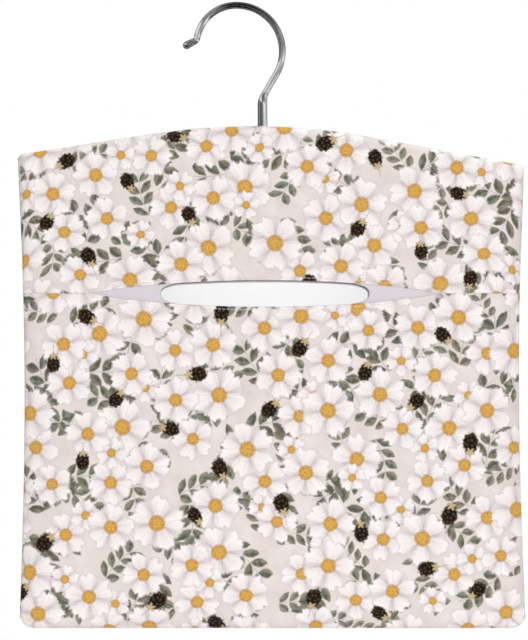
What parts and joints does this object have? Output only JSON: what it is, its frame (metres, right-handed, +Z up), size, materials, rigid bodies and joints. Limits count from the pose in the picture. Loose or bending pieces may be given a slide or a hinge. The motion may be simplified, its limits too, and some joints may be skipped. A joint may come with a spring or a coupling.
{
  "type": "peg bag",
  "caption": "Flat cotton peg bag sewn over an arched wooden hanger, with a slit mouth across the front and a swivelling chrome hook to hang it from a line.",
  "frame": {"origin": "where the bag hangs: the inner top of the hook's crook", "axes": "+Z up along the hook's shank, -Y out of the printed front, +X to the right as seen from the front"},
  "size_m": [0.3124, 0.0244, 0.3854],
  "materials": {
    "chrome_wire": "polished chrome plate on bent steel wire",
    "beech": "sanded beech, lightly waxed",
    "bright_steel": "turned steel",
    "printed_cotton": "plain-weave cotton with a small floral print outside and a white reverse",
    "plain_cotton": "plain-weave white cotton"
  },
  "bodies": {
    "hook": {"hook": "chrome_wire"},
    "bag": {"hanger_bar": "beech", "hook_bush": "bright_steel", "hook_washer": "bright_steel", "back_panel": "printed_cotton", "upper_front": "printed_cotton", "lower_front": "printed_cotton", "mouth_facing": "plain_cotton"}
  },
  "joints": [
    {"name": "hook_swivel", "type": "hinge", "parent": "hook", "child": "bag", "pos_m": [0.0161, 0, -0.0733], "axis": [0, 0, 1], "continuous": true}
  ]
}
